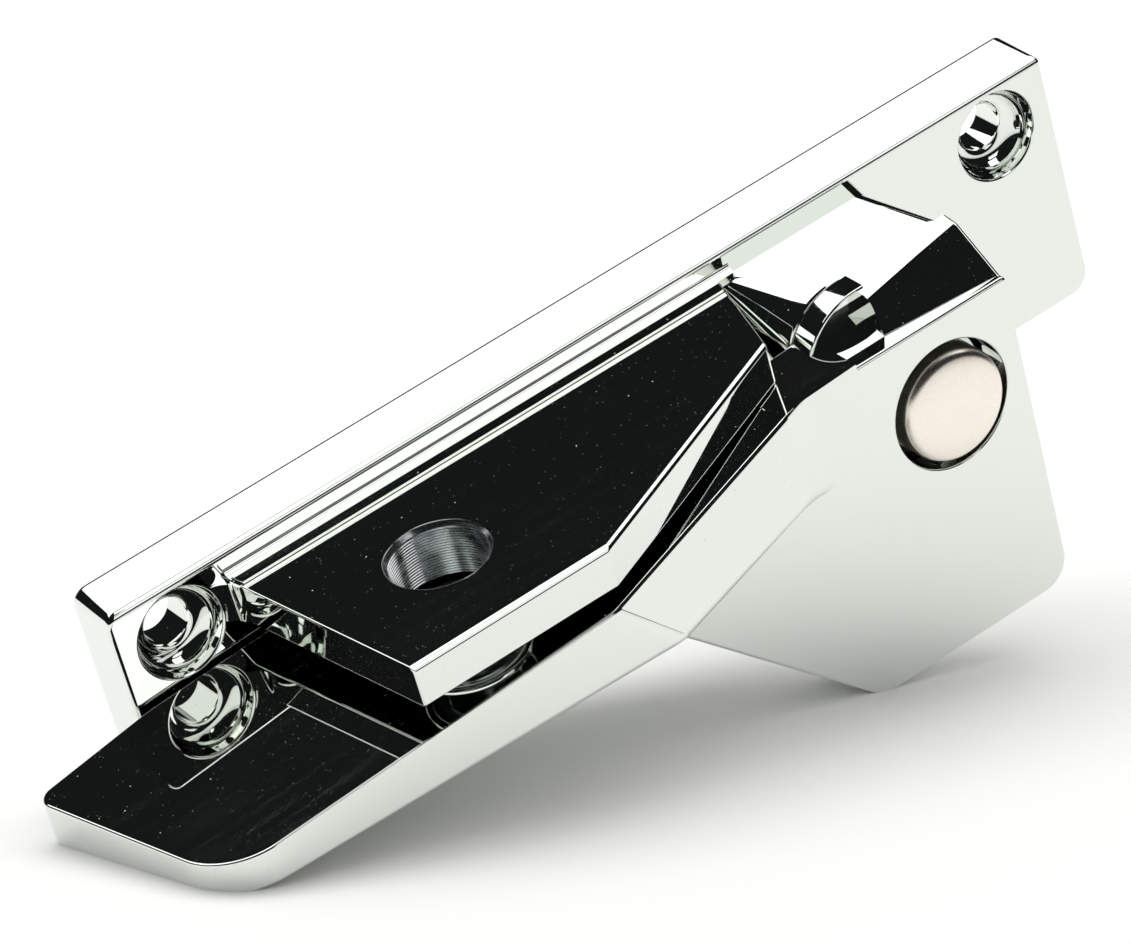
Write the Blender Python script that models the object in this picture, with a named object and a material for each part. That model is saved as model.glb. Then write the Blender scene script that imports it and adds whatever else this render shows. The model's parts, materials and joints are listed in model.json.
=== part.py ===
"""Toggle bolt latch: a chromed mounting body with a lug and a pivot boss, and a lever whose nose is the bolt.

The latch stands upright against a door frame. X runs along the mounting plate, Z is up, and the front
faces -Y. The origin is the centre of the plate's back face. Points are given in millimetres as (along, out,
down), measured from the upper left corner of the plate's front face, and point() turns them into metres.
"""

import math

import bmesh
import bpy
from mathutils import Matrix, Vector

# Mounting plate
PLATE_LENGTH = 140.0
PLATE_HEIGHT = 35.0
PLATE_THICKNESS = 8.0
TOP_CORNER_RADIUS = 0.9
BOTTOM_CORNER_RADIUS = 2.8
EDGE_BREAK = 0.5

# Screw holes near the plate's upper corners
SCREW_ALONG = 8.5
SCREW_DOWN = 7.6
SCREW_BORE_RADIUS = 3.2
SCREW_RIM_RADIUS = 5.8
SCREW_CUP_DEPTH = 3.4
SCREW_CUP_ROUNDING = 0.8

# Lug above the handle, and the threaded bushing in it
LUG_TOP = 4.1
LUG_BOTTOM = 9.6
LUG_FRONT = 33.0
LUG_ROOT = 15.5
LUG_PLAN = [
    (LUG_ROOT, -1.0, 0.0),
    (20.2, LUG_FRONT, 0.8),
    (48.0, LUG_FRONT, 1.5),
    (84.0, 16.1, 0.8),
    (89.0, -1.0, 0.0),
]
LUG_TOP_FILLET = 1.2
LUG_SIDE_FILLET = 3.0
FILLET_OVERLAP = 0.3
LUG_HOLE = (34.6, 17.4)
BUSHING_OUTER_RADIUS = 6.6
BUSHING_BORE_RADIUS = 5.9
BUSHING_BOTTOM = 12.0

# Pivot
PIVOT_ALONG = 103.6
PIVOT_DOWN = 22.5

# Boss on the plate behind the lever's hub
BOSS_LEFT = 88.6
BOSS_RIGHT = 114.0
BOSS_ROOT_RIGHT = 111.0
BOSS_TOP = 4.5
BOSS_ROOT_SHOULDER_RADIUS = 1.5
BOSS_BOTTOM = 34.5
BOSS_OUT = 11.2
BOSS_SHOULDER_RADIUS = 9.3
BOSS_TOP_RIGHT_RADIUS = 1.0
BOSS_LOWER_RADIUS = 2.0

# Lever: handle, hub and nose
GAP = 0.3
HUB_BACK = BOSS_OUT + GAP
HUB_FRONT = 21.5
HUB_TOP = 10.3
HUB_RIGHT = 115.0
NOSE_RIGHT = 114.2
NOSE_LEFT = 84.5
NOSE_BOTTOM = 55.3
NOSE_TIP_RADIUS = 4.0
THROAT = [(55.5, 26.0, 0.0), (56.0, 18.0, 0.0)]
HANDLE_FRONT = 34.1
HANDLE_BACK = 0.7
HANDLE_STEP = 79.8
HANDLE_INTO_HUB = 92.0
HANDLE_BEND_END = 83.0
HANDLE_BEND_AT_TOP = 46.0
HANDLE_BEND_AT_BOTTOM = 54.0
HANDLE_BEND_RADIUS = 6.0
HANDLE_END = [(-9.6, HANDLE_FRONT, 9.0), (-16.6, 2.8, 2.2), (1.0, HANDLE_BACK, 20.0)]
HANDLE_TOP_AT_END = 13.95
HANDLE_TOP_RISE = 0.05
HANDLE_TOP_DROOP = 0.02
HANDLE_BOTTOM_AT_END = 19.6
HANDLE_BOTTOM_FALL = 0.034
HANDLE_BOTTOM_RISE = 0.1

# Hole through the handle, and the sleeve in it
HANDLE_HOLE = (31.4, 25.2)
HANDLE_HOLE_RIM_RADIUS = 7.5
HANDLE_HOLE_RIM_DEPTH = 0.8
SLEEVE_OUTER_RADIUS = 6.2
SLEEVE_BORE_RADIUS = 4.4
SLEEVE_INSET = 0.6
DRUM_FRONT = 16.0
ROOF_LEFT = 98.2
ROOF_CREST = 12.6
ROOF_EAVE = 20.6
ROOF_FOOT = 15.0

# Pivot pin and the pieces on it
RECESS_RADIUS = 8.4
RECESS_FLOOR = 16.5
HEAD_RADIUS = 7.3
HEAD_BACK = RECESS_FLOOR + 2 * GAP + 0.5
HEAD_EDGE = 21.3
HEAD_CROWN = 23.2
SHANK_RADIUS = 4.0
BUSH_BORE_RADIUS = SHANK_RADIUS + GAP
BUSH_OUTER_RADIUS = 5.4
HUB_BORE_RADIUS = BUSH_OUTER_RADIUS + GAP
THRUST_OUTER_RADIUS = 6.3
THRUST_THICKNESS = 1.0
WAVE_OUTER_RADIUS = 7.2
WAVE_THICKNESS = 0.5
POCKET_RADIUS = 8.6
POCKET_DEPTH = 6.5
WASHER_RADIUS = 8.0
WASHER_THICKNESS = 1.2
NUT_ACROSS_FLATS = 13.0
NUT_THICKNESS = 4.0
SHANK_END = -7.7
SHANK_CHAMFER = 0.5

# Stop pin in the boss, and the arc slot for it in the back of the hub
STOP_ORBIT = 9.6
STOP_ANGLE = -60.0
STOP_RADIUS = 2.0
STOP_DEPTH = 6.0
STOP_REACH = 2.6
SWING = 95.0

ROUND_STEPS = 40
SMALL_ROUND_STEPS = 32
PIN_STEPS = 20
CURVE_STEPS = 6
ARC_STEPS = 16
SHOULDER_STEPS = 10
HANDLE_CURVE_STEPS = 8
HEAD_STEPS = 7
OVERRUN = 1.0


def point(along, out, down):
    return Vector((along - PLATE_LENGTH / 2, -PLATE_THICKNESS - out, PLATE_HEIGHT / 2 - down)) * 0.001


def make_material(name, colour, roughness, metallic=1.0):
    material = bpy.data.materials.new(name)
    material.use_nodes = True
    shader = material.node_tree.nodes["Principled BSDF"]
    shader.inputs["Base Color"].default_value = (*colour, 1.0)
    shader.inputs["Roughness"].default_value = roughness
    shader.inputs["Metallic"].default_value = metallic
    return material


def rounded(corners, steps=CURVE_STEPS):
    """The outline through corners (x, y, radius), each one rounded by an arc of that radius."""
    outline = []
    for index, (x, y, radius) in enumerate(corners):
        corner = Vector((x, y))
        before = (Vector(corners[index - 1][:2]) - corner).normalized()
        after = (Vector(corners[(index + 1) % len(corners)][:2]) - corner).normalized()
        if radius == 0.0:
            outline.append(corner)
            continue
        half = before.angle(after) / 2
        centre = corner + (before + after).normalized() * (radius / math.sin(half))
        start = corner + before * (radius / math.tan(half)) - centre
        end = corner + after * (radius / math.tan(half)) - centre
        turn = start.angle_signed(end)
        for step in range(steps + 1):
            outline.append(centre + Matrix.Rotation(-turn * step / steps, 2) @ start)
    return outline


def join_loops(mesh, lower, upper):
    for index in range(len(lower)):
        following = (index + 1) % len(lower)
        mesh.faces.new((lower[index], lower[following], upper[following], upper[index]))


def loft(name, loops, material=None, origin=None, closed=False):
    """A solid through loops of equal length, as an object with this origin.

    A closed one runs on from the last loop to the first. Any other has a flat cap at each end.
    """
    origin = origin or Vector((0.0, 0.0, 0.0))
    mesh = bmesh.new()
    rings = [[mesh.verts.new(corner - origin) for corner in loop] for loop in loops]
    for lower, upper in zip(rings, rings[1:]):
        join_loops(mesh, lower, upper)
    if closed:
        join_loops(mesh, rings[-1], rings[0])
    else:
        mesh.faces.new(rings[0])
        mesh.faces.new(rings[-1])
    bmesh.ops.recalc_face_normals(mesh, faces=mesh.faces)
    data = bpy.data.meshes.new(name)
    mesh.to_mesh(data)
    mesh.free()
    obj = bpy.data.objects.new(name, data)
    obj.location = origin
    bpy.context.scene.collection.objects.link(obj)
    if material:
        data.materials.append(material)
    return obj


def front_prism(name, corners, back, front, material=None, origin=None, steps=CURVE_STEPS):
    """An outline of (along, down, radius) corners, run out from back to front."""
    outline = rounded(corners, steps)
    loops = [[point(along, out, down) for along, down in outline] for out in (back, front)]
    return loft(name, loops, material, origin)


def circle(centre, radius, distance, axis, steps):
    """Points round an axis that runs out of the plate, or down it."""
    loop = []
    for step in range(steps):
        angle = 2 * math.pi * step / steps
        first = centre[0] + radius * math.cos(angle)
        second = centre[1] + radius * math.sin(angle)
        place = (first, distance, second) if axis == "out" else (first, second, distance)
        loop.append(point(*place))
    return loop


def turned(name, centre, profile, material=None, axis="out", origin=None, steps=ROUND_STEPS, closed=False):
    """A round piece from (distance along its axis, radius) pairs."""
    loops = [circle(centre, radius, distance, axis, steps) for distance, radius in profile]
    obj = loft(name, loops, material, origin, closed)
    smooth(obj)
    return obj


def ring(name, centre, radii, ends, material, axis="out", origin=None):
    """A flat ring, such as a washer, a bush or a sleeve."""
    inner, outer = radii
    start, end = ends
    profile = [(start, outer), (end, outer), (end, inner), (start, inner)]
    return turned(name, centre, profile, material, axis, origin, closed=True)


def smooth(obj):
    obj.data.shade_smooth()
    obj.data.set_sharp_from_angle(angle=math.radians(30.0))


def combine(target, helper, operation):
    """Adds helper to target, or cuts it away, and hides it."""
    modifier = target.modifiers.new(helper.name, "BOOLEAN")
    modifier.operation = operation
    modifier.solver = "EXACT"
    modifier.object = helper
    helper.hide_render = True
    helper.display_type = "WIRE"


def plate_solid(material):
    """The plate, with its front edges broken."""
    outlines = []
    for inset, out in ((0.0, -PLATE_THICKNESS), (0.0, -EDGE_BREAK), (EDGE_BREAK, 0.0)):
        left, right = inset, PLATE_LENGTH - inset
        top, bottom = inset, PLATE_HEIGHT - inset
        upper = TOP_CORNER_RADIUS - inset
        lower = BOTTOM_CORNER_RADIUS - inset
        corners = [
            (left, top, upper),
            (right, top, upper),
            (right, bottom, lower),
            (left, bottom, lower),
        ]
        outlines.append([point(along, out, down) for along, down in rounded(corners)])
    return loft("mounting_body", outlines, material)


def lug_solid():
    outline = rounded(LUG_PLAN)
    loops = [[point(along, out, down) for along, out in outline] for down in (LUG_BOTTOM, LUG_TOP)]
    return loft("lug_solid", loops)


def quarter_fillet(radius, steps=CURVE_STEPS):
    """Points of a hollow quarter round from (0, radius) on one wall to (radius, 0) on the other."""
    angles = [math.pi / 2 * step / steps for step in range(steps + 1)]
    return [(radius - radius * math.cos(angle), radius - radius * math.sin(angle)) for angle in angles]


def lug_top_fillet():
    """The hollow round between the plate's front and the lug's top."""
    section = [(out, LUG_TOP - rise) for out, rise in quarter_fillet(LUG_TOP_FILLET)]
    section += [
        (LUG_TOP_FILLET, LUG_TOP + OVERRUN),
        (-OVERRUN, LUG_TOP + OVERRUN),
        (-OVERRUN, LUG_TOP - LUG_TOP_FILLET),
    ]
    ends = (LUG_ROOT + FILLET_OVERLAP, BOSS_LEFT + 2 * OVERRUN)
    loops = [[point(along, out, down) for out, down in section] for along in ends]
    return loft("lug_top_fillet", loops)


def lug_side_fillet():
    """The hollow round between the plate's front and the lug's left side."""
    root = LUG_ROOT + FILLET_OVERLAP
    section = [(root - side, out) for out, side in quarter_fillet(LUG_SIDE_FILLET)]
    section += [
        (root + OVERRUN, LUG_SIDE_FILLET),
        (root + OVERRUN, -OVERRUN),
        (root - LUG_SIDE_FILLET, -OVERRUN),
    ]
    loops = [[point(along, out, down) for along, out in section] for down in (LUG_BOTTOM, LUG_TOP)]
    return loft("lug_side_fillet", loops)


def boss_solid():
    """The boss's shoulder is tight at the plate and rounder towards the lever."""
    loops = []
    ends = (
        (-OVERRUN, BOSS_ROOT_RIGHT, BOSS_ROOT_SHOULDER_RADIUS),
        (0.0, BOSS_ROOT_RIGHT, BOSS_ROOT_SHOULDER_RADIUS),
        (BOSS_OUT, BOSS_RIGHT, BOSS_SHOULDER_RADIUS),
    )
    for out, right, shoulder in ends:
        corners = [
            (BOSS_LEFT, BOSS_TOP, shoulder),
            (right, BOSS_TOP, BOSS_TOP_RIGHT_RADIUS),
            (right, BOSS_BOTTOM, BOSS_LOWER_RADIUS),
            (BOSS_LEFT, BOSS_BOTTOM, BOSS_LOWER_RADIUS),
        ]
        loops.append([point(along, out, down) for along, down in rounded(corners, SHOULDER_STEPS)])
    return loft("boss_solid", loops)


def stop_place(turn=0.0, orbit=STOP_ORBIT):
    """Where the stop pin is, as (along, down), seen from a lever that has swung by turn degrees."""
    angle = math.radians(STOP_ANGLE - turn)
    return PIVOT_ALONG + orbit * math.cos(angle), PIVOT_DOWN - orbit * math.sin(angle)


def cut_screw_holes(body):
    """Two through holes, each with a rounded cup for a flat-headed screw."""
    profile = [(-PLATE_THICKNESS - OVERRUN, SCREW_BORE_RADIUS)]
    for step in range(CURVE_STEPS + 1):
        share = step / CURVE_STEPS
        radius = SCREW_BORE_RADIUS + (SCREW_RIM_RADIUS - SCREW_BORE_RADIUS) * share**SCREW_CUP_ROUNDING
        profile.append((-SCREW_CUP_DEPTH * (1 - share), radius))
    profile.append((OVERRUN, SCREW_RIM_RADIUS))
    for side, along in (("left", SCREW_ALONG), ("right", PLATE_LENGTH - SCREW_ALONG)):
        centre = (along, SCREW_DOWN)
        combine(body, turned(f"screw_hole_{side}", centre, profile, steps=SMALL_ROUND_STEPS), "DIFFERENCE")


def cut_pivot_bore(body):
    """The shank's bore, and the pocket in the plate's back for the washer and the nut."""
    bore = SHANK_RADIUS + GAP
    floor = POCKET_DEPTH - PLATE_THICKNESS
    profile = [
        (-PLATE_THICKNESS - OVERRUN, POCKET_RADIUS),
        (floor, POCKET_RADIUS),
        (floor, bore),
        (BOSS_OUT + OVERRUN, bore),
    ]
    combine(body, turned("pivot_bore", (PIVOT_ALONG, PIVOT_DOWN), profile), "DIFFERENCE")


def build_body(chrome):
    body = plate_solid(chrome)
    for solid in (lug_solid(), lug_top_fillet(), lug_side_fillet(), boss_solid()):
        combine(body, solid, "UNION")
    cut_screw_holes(body)
    cut_pivot_bore(body)
    hole = BUSHING_OUTER_RADIUS + GAP
    ends = (LUG_TOP - OVERRUN, LUG_BOTTOM + OVERRUN)
    lug_bore = turned("lug_bore", LUG_HOLE, [(end, hole) for end in ends], axis="down")
    combine(body, lug_bore, "DIFFERENCE")
    hole = STOP_RADIUS + GAP
    ends = (BOSS_OUT - STOP_DEPTH - GAP, BOSS_OUT + OVERRUN)
    stop_bore = turned("stop_bore", stop_place(), [(end, hole) for end in ends], steps=PIN_STEPS)
    combine(body, stop_bore, "DIFFERENCE")
    return body


def handle_top(along, out):
    return HANDLE_TOP_AT_END - HANDLE_TOP_RISE * along + HANDLE_TOP_DROOP * out


def handle_bottom(along, out):
    return HANDLE_BOTTOM_AT_END + HANDLE_BOTTOM_FALL * along + HANDLE_BOTTOM_RISE * (HANDLE_FRONT - out)


def handle_plan(bend):
    """The handle's outline from above, as (along, out, radius). Its front turns towards the hub at bend."""
    return [
        (HANDLE_STEP, HANDLE_BACK, 1.0),
        (HANDLE_STEP, HUB_BACK, 0.0),
        (HANDLE_INTO_HUB, HUB_BACK, 0.0),
        (HANDLE_INTO_HUB, HUB_FRONT, 0.0),
        (HANDLE_BEND_END, HUB_FRONT, 0.0),
        (bend, HANDLE_FRONT, HANDLE_BEND_RADIUS),
        *HANDLE_END,
    ]


def handle_solid(chrome, origin):
    loops = []
    for bend, level in ((HANDLE_BEND_AT_BOTTOM, handle_bottom), (HANDLE_BEND_AT_TOP, handle_top)):
        outline = rounded(handle_plan(bend), HANDLE_CURVE_STEPS)
        loops.append([point(along, out, level(along, out)) for along, out in outline])
    return loft("handle_lever", loops, chrome, origin)


def nose_solid():
    """The hub's flat front and the nose below it, which is the bolt."""
    corners = [
        (HANDLE_BEND_END, HUB_TOP, 0.0),
        (HUB_RIGHT, HUB_TOP, 0.6),
        (NOSE_RIGHT, NOSE_BOTTOM, NOSE_TIP_RADIUS),
        (NOSE_LEFT, NOSE_BOTTOM, 1.0),
        *THROAT,
    ]
    return front_prism("nose_solid", corners, HUB_BACK, HUB_FRONT)


def drum_solid():
    """The part of the hub that carries on the boss's outline."""
    corners = [
        (BOSS_LEFT, PIVOT_DOWN, 0.0),
        (BOSS_LEFT, BOSS_TOP, BOSS_SHOULDER_RADIUS),
        (ROOF_LEFT + OVERRUN, BOSS_TOP, 0.0),
        (ROOF_LEFT + OVERRUN, PIVOT_DOWN, 0.0),
    ]
    return front_prism("drum_solid", corners, HUB_BACK, DRUM_FRONT, steps=SHOULDER_STEPS)


def roof_solid():
    """The hub's raised top right of the drum, which slopes down to the hub's front edge."""
    section = [
        (HUB_BACK, BOSS_TOP),
        (ROOF_CREST, BOSS_TOP),
        (ROOF_EAVE, HUB_TOP),
        (ROOF_EAVE, ROOF_FOOT),
        (HUB_BACK, ROOF_FOOT),
    ]
    loops = [[point(along, out, down) for out, down in section] for along in (ROOF_LEFT, HUB_RIGHT)]
    return loft("roof_solid", loops)


def stop_slot():
    """The arc slot that the stop pin runs in, from the closed stop to the open one."""
    reach = STOP_RADIUS + 2 * GAP
    slack = math.degrees(reach / STOP_ORBIT)
    outline = []
    for orbit, first, last in (
        (STOP_ORBIT + reach, -slack, SWING + slack),
        (STOP_ORBIT - reach, SWING + slack, -slack),
    ):
        for step in range(ARC_STEPS + 1):
            outline.append(stop_place(first + (last - first) * step / ARC_STEPS, orbit))
    ends = (HUB_BACK - OVERRUN, BOSS_OUT + STOP_REACH + GAP)
    loops = [[point(along, out, down) for along, down in outline] for out in ends]
    return loft("stop_slot", loops)


def cut_hub_bore(lever):
    """The bush's bore, the seat for the thrust washer behind it and the recess for the pin's head."""
    seat = HUB_BACK + THRUST_THICKNESS + GAP
    profile = [
        (HUB_BACK - OVERRUN, THRUST_OUTER_RADIUS + GAP),
        (seat, THRUST_OUTER_RADIUS + GAP),
        (seat, HUB_BORE_RADIUS),
        (RECESS_FLOOR, HUB_BORE_RADIUS),
        (RECESS_FLOOR, RECESS_RADIUS),
        (HUB_FRONT + OVERRUN, RECESS_RADIUS),
    ]
    combine(lever, turned("hub_bore", (PIVOT_ALONG, PIVOT_DOWN), profile), "DIFFERENCE")


def cut_handle_hole(lever):
    """A chamfered hole right through the handle."""
    top = handle_top(*HANDLE_HOLE)
    bottom = handle_bottom(*HANDLE_HOLE)
    hole = SLEEVE_OUTER_RADIUS + GAP
    profile = [
        (top - OVERRUN, HANDLE_HOLE_RIM_RADIUS),
        (top, HANDLE_HOLE_RIM_RADIUS),
        (top + HANDLE_HOLE_RIM_DEPTH, hole),
        (bottom + OVERRUN, hole),
    ]
    hole = turned("handle_hole", HANDLE_HOLE, profile, axis="down", steps=SMALL_ROUND_STEPS)
    combine(lever, hole, "DIFFERENCE")


def build_lever(chrome, origin):
    lever = handle_solid(chrome, origin)
    for solid in (nose_solid(), drum_solid(), roof_solid()):
        combine(lever, solid, "UNION")
    cut_hub_bore(lever)
    combine(lever, stop_slot(), "DIFFERENCE")
    cut_handle_hole(lever)
    return lever


def build_handle_sleeve(steel, origin):
    top = handle_top(*HANDLE_HOLE) + SLEEVE_INSET
    bottom = handle_bottom(*HANDLE_HOLE) - SLEEVE_INSET
    radii = (SLEEVE_BORE_RADIUS, SLEEVE_OUTER_RADIUS)
    ring("handle_sleeve", HANDLE_HOLE, radii, (top, bottom), steel, "down", origin)


def build_bushing(steel):
    ends = (LUG_TOP, BUSHING_BOTTOM)
    radii = (BUSHING_BORE_RADIUS, BUSHING_OUTER_RADIUS)
    return ring("lug_bushing", LUG_HOLE, radii, ends, steel, "down")


def build_pivot_pin(nickel):
    """The domed head and the shank."""
    profile = [
        (SHANK_END, SHANK_RADIUS - SHANK_CHAMFER),
        (SHANK_END + SHANK_CHAMFER, SHANK_RADIUS),
        (HEAD_BACK, SHANK_RADIUS),
        (HEAD_BACK, HEAD_RADIUS),
    ]
    for step in range(HEAD_STEPS):
        angle = math.pi / 2 * step / HEAD_STEPS
        rise = (HEAD_CROWN - HEAD_EDGE) * math.sin(angle)
        profile.append((HEAD_EDGE + rise, HEAD_RADIUS * math.cos(angle)))
    return turned("pivot_pin", (PIVOT_ALONG, PIVOT_DOWN), profile, nickel)


def build_bearing(bronze, spring_steel, pivot_point):
    """The bush that turns with the lever, and the flat and the wave washer at its ends."""
    pivot = (PIVOT_ALONG, PIVOT_DOWN)
    ends = (HUB_BACK + THRUST_THICKNESS + 2 * GAP, RECESS_FLOOR)
    radii = (BUSH_BORE_RADIUS, BUSH_OUTER_RADIUS)
    ring("pivot_bush", pivot, radii, ends, bronze, origin=pivot_point)
    ends = (HUB_BACK, HUB_BACK + THRUST_THICKNESS)
    ring("thrust_washer", pivot, (BUSH_BORE_RADIUS, THRUST_OUTER_RADIUS), ends, bronze)
    ends = (RECESS_FLOOR + GAP, RECESS_FLOOR + GAP + WAVE_THICKNESS)
    ring("wave_washer", pivot, (BUSH_BORE_RADIUS, WAVE_OUTER_RADIUS), ends, spring_steel)


def build_fastening(zinc):
    """The washer and the nut that hold the pin, in the pocket in the plate's back."""
    centre = Vector((PIVOT_ALONG, PIVOT_DOWN))
    washer_end = POCKET_DEPTH - PLATE_THICKNESS - GAP
    washer_start = washer_end - WASHER_THICKNESS
    ring("back_washer", centre, (BUSH_BORE_RADIUS, WASHER_RADIUS), (washer_start, washer_end), zinc)
    nut_end = washer_start - GAP
    nut_start = nut_end - NUT_THICKNESS
    corner = Vector((NUT_ACROSS_FLATS / math.sqrt(3), 0.0))
    corners = []
    for side in range(6):
        place = centre + Matrix.Rotation(math.radians(60 * side), 2) @ corner
        corners.append((*place, 0.0))
    nut = front_prism("lock_nut", corners, nut_start, nut_end, zinc)
    hole = SHANK_RADIUS + GAP
    profile = [(nut_start - OVERRUN, hole), (nut_end + OVERRUN, hole)]
    combine(nut, turned("nut_bore", centre, profile), "DIFFERENCE")


def build_stop_pin(steel):
    profile = [(BOSS_OUT - STOP_DEPTH, STOP_RADIUS), (BOSS_OUT + STOP_REACH, STOP_RADIUS)]
    turned("stop_pin", stop_place(), profile, steel, steps=PIN_STEPS)


def clear_scene():
    for obj in list(bpy.data.objects):
        bpy.data.objects.remove(obj, do_unlink=True)


def build():
    clear_scene()
    chrome = make_material("chrome", (0.86, 0.88, 0.87), 0.03)
    satin_nickel = make_material("satin_nickel", (0.86, 0.80, 0.70), 0.32)
    steel = make_material("machined_steel", (0.60, 0.61, 0.61), 0.3)
    bronze = make_material("bronze", (0.62, 0.42, 0.22), 0.4)
    spring_steel = make_material("spring_steel", (0.42, 0.42, 0.44), 0.3)
    zinc = make_material("zinc", (0.70, 0.72, 0.74), 0.35)
    pivot_point = point(PIVOT_ALONG, HUB_BACK, PIVOT_DOWN)
    build_body(chrome)
    build_lever(chrome, pivot_point)
    build_handle_sleeve(steel, pivot_point)
    build_bushing(steel)
    build_pivot_pin(satin_nickel)
    build_bearing(bronze, spring_steel, pivot_point)
    build_fastening(zinc)
    build_stop_pin(steel)


build()
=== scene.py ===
"""The looks of the toggle bolt latch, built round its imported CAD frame.

Points are given in millimetres as (along, out, down) from the upper left corner of the mounting plate's
front face, and point() turns them into the frame's metres.
"""

import json
import math

import bmesh
import bpy
from mathutils import Matrix, Vector


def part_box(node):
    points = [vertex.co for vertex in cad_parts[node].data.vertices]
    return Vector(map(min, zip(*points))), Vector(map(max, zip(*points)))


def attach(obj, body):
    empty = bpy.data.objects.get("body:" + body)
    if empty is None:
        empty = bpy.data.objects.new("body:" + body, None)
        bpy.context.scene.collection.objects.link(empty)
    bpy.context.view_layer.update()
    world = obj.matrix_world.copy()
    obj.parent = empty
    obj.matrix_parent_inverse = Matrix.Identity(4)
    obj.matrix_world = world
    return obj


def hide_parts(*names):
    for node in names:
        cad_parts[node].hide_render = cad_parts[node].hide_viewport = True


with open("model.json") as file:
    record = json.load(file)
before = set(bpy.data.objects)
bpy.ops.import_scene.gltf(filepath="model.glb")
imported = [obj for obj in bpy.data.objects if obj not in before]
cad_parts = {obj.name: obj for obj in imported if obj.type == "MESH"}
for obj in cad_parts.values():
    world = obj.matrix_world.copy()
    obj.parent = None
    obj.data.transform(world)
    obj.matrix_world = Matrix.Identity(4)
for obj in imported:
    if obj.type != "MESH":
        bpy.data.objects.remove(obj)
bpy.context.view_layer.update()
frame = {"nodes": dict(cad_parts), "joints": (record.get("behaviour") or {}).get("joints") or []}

MM = 0.001
BODY_LOW, BODY_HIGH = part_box("mounting_body")
PIVOT = Vector(frame["joints"][0]["pos_m"])
PIVOT_ALONG = (PIVOT.x - BODY_LOW.x) / MM
PIVOT_DOWN = (BODY_HIGH.z - PIVOT.z) / MM

# How far a cutter or a root runs past the surface that it goes through
OVERRUN = 1.0

# Mounting plate
PLATE_LENGTH = (BODY_HIGH.x - BODY_LOW.x) / MM
PLATE_HEIGHT = (BODY_HIGH.z - BODY_LOW.z) / MM
PLATE_THICKNESS = 8.0
PLATE_TOP_DRAFT = 0.55
PLATE_EDGE_RADII = (1.1, 0.45, 0.5, 0.45)
PLATE_BACK_RADII = (0.8, 0.3, 0.3, 0.3)
PLATE_CORNER_RADII = (2.2, 1.4, 2.8, 2.8)
SCREW_ALONG = 8.5
SCREW_DOWN = 7.6
SCREW_BORE_PROFILE = [(-9.0, 3.0), (-3.75, 3.0), (-3.45, 3.08), (-3.25, 3.3)]
CUP_RADIUS = 5.75
CUP_DEPTH = 3.2
CUP_RIM = 0.35
CUP_ROUNDNESS = 0.9
CUP_STEPS = 10
CUP_RIM_STEPS = 4

# Lug and the bushing in it
LUG_TOP = 4.1
LUG_BOTTOM = 9.6
LUG_FRONT = 33.0
LUG_ROOT = 15.5
LUG_PLAN = [
    (LUG_ROOT, -OVERRUN, 0.0),
    (20.2, LUG_FRONT, 0.5),
    (48.0, LUG_FRONT, 1.2),
    (84.0, 16.1, 0.8),
    (89.0, -OVERRUN, 0.0),
]
LUG_EDGE_RADII = (0.22, 0.85, 0.6, 0.3, 0.2)
LUG_BOTTOM_RADIUS = 0.25
LUG_DROOP = 0.015
STRIP_OUT = 2.9
STRIP_RISE = 0.25
STRIP_CORNER_RADIUS = 0.1
STRIP_EDGE_RADII = (0.08, 0.1)
LUG_TOP_FILLET = 1.0
LUG_SIDE_FILLET = 3.0
FILLET_START = LUG_ROOT + 0.3
FILLET_STEPS = 10
LUG_HOLE = (34.6, 17.3)
LUG_HOLE_RIM = 0.3
LUG_HOLE_PLAY = 0.03
BUSHING_OUTER = 6.58
BUSHING_BORE = 6.15
BUSHING_TOP = 4.4
BUSHING_BOTTOM = 11.8
BUSHING_MOUTH = 0.38
BUSHING_MOUTH_DEPTH = 0.5
BUSHING_FOOT = 0.2
GROOVE_START = 0.4
GROOVE_PITCH = 0.38
GROOVE_DEPTH = 0.07
GROOVE_SHARES = ((0.0, 0.0), (0.5, 0.0), (0.65, GROOVE_DEPTH), (0.85, GROOVE_DEPTH))

# Boss behind the hub
BOSS_LEFT = 88.6
BOSS_RIGHT = 114.7
BOSS_ROOT_RIGHT = 112.0
BOSS_TOP = 4.4
BOSS_TOP_DROOP = 0.9
BOSS_BOTTOM = 34.5
BOSS_OUT = 11.2
BOSS_SHOULDERS = (1.5, 9.3)
BOSS_CORNER_RADII = (2.2, 2.0, 2.0)
BOSS_CORNER_STEPS = 16
BOSS_EDGE_RADIUS = 0.4

# Lever
GAP = 0.3
HUB_BACK = BOSS_OUT + GAP
HUB_FRONT = 21.5
HUB_TOP = 10.3
HUB_RIGHT = 115.0
NOSE_RIGHT = 114.2
NOSE_LEFT = 84.5
NOSE_BOTTOM = 55.3
HANDLE_FRONT = 34.1
HANDLE_BACK = 0.7
HANDLE_STEP = 79.8
HANDLE_JOIN = 92.0
HANDLE_BEND = 46.0
HANDLE_BEND_SHIFT = 8.0
HANDLE_DEPTH = 6.0
HANDLE_TOP_RADIUS = 0.3
HANDLE_BOTTOM_RADIUS = 0.6
HANDLE_CORNER_STEPS = 14
DRUM_FRONT = 15.4
DRUM_TOP = 5.0
DRUM_CORNER_STEPS = 20
ROOF_LEFT = 98.2
ROOF_CRESTS = (17.6, 13.6)
ROOF_ROUNDINGS = (2.0, 2.0)
ROOF_FEET = (19.0, 20.6)
ROOF_FALL = 0.35
ROOF_END_RADIUS = 0.7
ROOF_CORNER_STEPS = 6
CORE_DOWN = 15.0
LEDGE_RISES = ((HANDLE_STEP + 0.1, 0.2), (86.4, 0.25), (ROOF_LEFT + 3.0, 1.2))

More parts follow.
